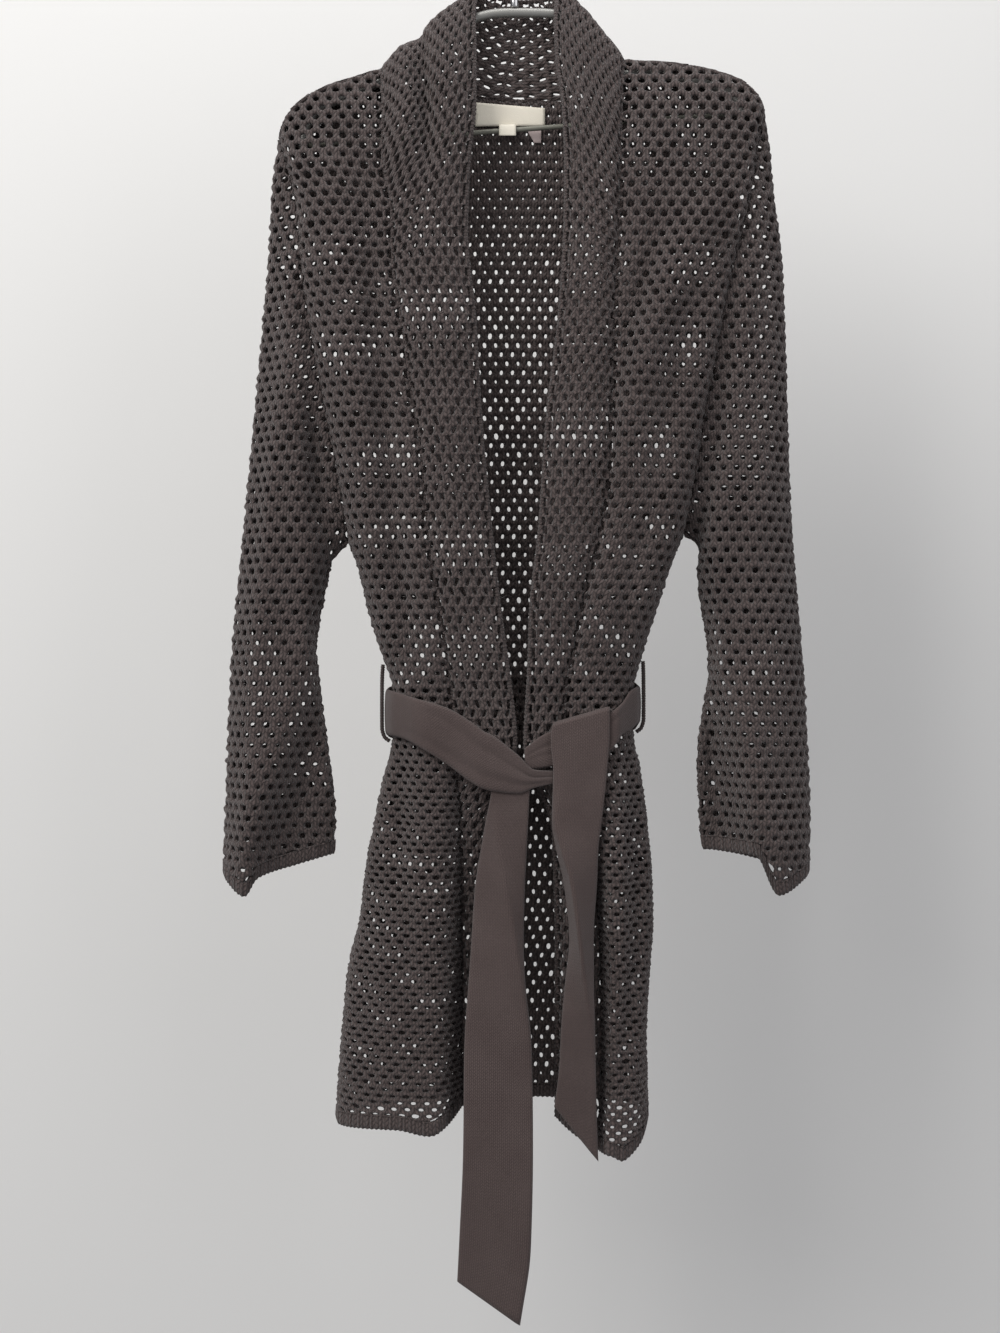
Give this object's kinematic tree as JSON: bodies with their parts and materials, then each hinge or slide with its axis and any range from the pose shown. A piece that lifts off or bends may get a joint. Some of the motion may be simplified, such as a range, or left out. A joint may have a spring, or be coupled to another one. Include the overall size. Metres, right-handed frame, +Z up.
{
  "type": "wrap cardigan on a coat hanger",
  "caption": "Open-knit wrap cardigan with a shawl collar and its own tie belt, hanging on a coat hanger with its fronts open.",
  "frame": {"origin": "inside top of the hanger's hook, where a rail holds it", "axes": "+X to the viewer's right as worn fronts face the viewer, -Y out of the front, +Z up"},
  "size_m": [0.5125, 0.1089, 1.212],
  "materials": {
    "knitted_cotton": "matt",
    "rib_tape": "matt",
    "woven_label": "matt",
    "brushed_metal": "satin"
  },
  "bodies": {
    "root": {"back": "knitted_cotton", "front_left": "knitted_cotton", "front_right": "knitted_cotton", "band_left": "knitted_cotton", "band_right": "knitted_cotton", "sleeve_left": "knitted_cotton", "sleeve_right": "knitted_cotton", "belt_carrier_left": "knitted_cotton", "belt_carrier_right": "knitted_cotton", "belt_behind": "rib_tape", "belt_left": "rib_tape", "belt_right": "rib_tape", "tail_left": "rib_tape", "tail_right": "rib_tape", "neck_label": "woven_label", "size_tab": "woven_label", "care_tab": "woven_label", "hanger_arms": "brushed_metal", "hanger_rod": "brushed_metal", "hanger_hook": "brushed_metal"}
  },
  "joints": []
}
